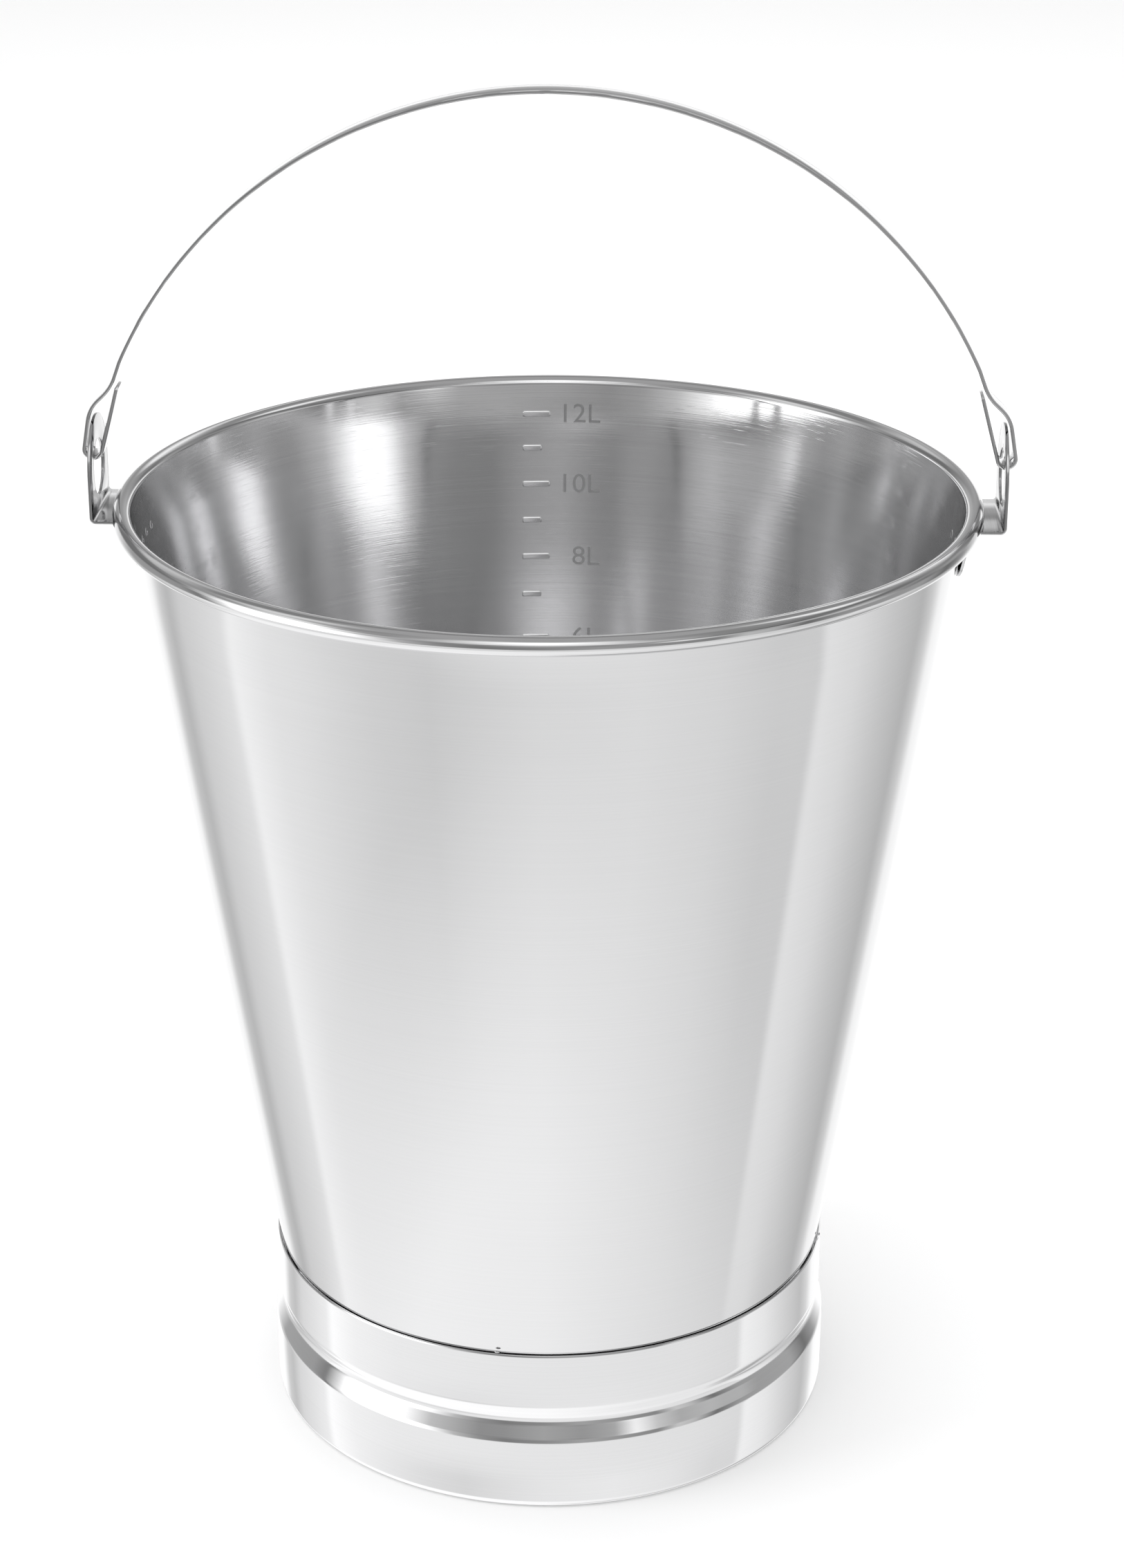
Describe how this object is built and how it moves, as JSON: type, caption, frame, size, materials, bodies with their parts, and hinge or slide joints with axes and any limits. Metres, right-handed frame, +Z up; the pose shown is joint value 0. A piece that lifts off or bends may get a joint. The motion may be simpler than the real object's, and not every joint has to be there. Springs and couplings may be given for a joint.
{
  "type": "milk pail",
  "caption": "Tapered steel milk pail with a beaded rim, a foot ring, two upright ears and a flat strip bail hooked through them.",
  "frame": {"origin": "centre of the foot ring on the surface that the pail stands on", "axes": "+Z up along the pail's own axis, X through the two ears and along the bail's hinge, +X to the right ear, -Y to the front"},
  "size_m": [0.3102, 0.29, 0.4694],
  "materials": {
    "pail_steel": "stainless sheet, bright polished outside, brushed round the inside",
    "wire_steel": "drawn wire, dull",
    "ring_steel": "stainless sheet, satin with a polished shoulder",
    "weld_metal": "small tack welds, as welded",
    "ear_steel": "stamped and folded stainless sheet, mill finish",
    "bail_steel": "flat stainless strip with drawn edges"
  },
  "bodies": {
    "pail": {"pail_body": "pail_steel", "rim_wire": "wire_steel", "base_ring": "ring_steel", "base_ring_weld_1": "weld_metal", "base_ring_weld_2": "weld_metal", "base_ring_weld_3": "weld_metal", "base_ring_weld_4": "weld_metal", "ear_left": "ear_steel", "ear_right": "ear_steel"},
    "bail": {"bail": "bail_steel"}
  },
  "joints": [
    {"name": "bail_swing", "type": "hinge", "parent": "pail", "child": "bail", "pos_m": [0, 0, 0.3416], "axis": [1, 0, 0], "range_deg": [-91, 91]}
  ]
}
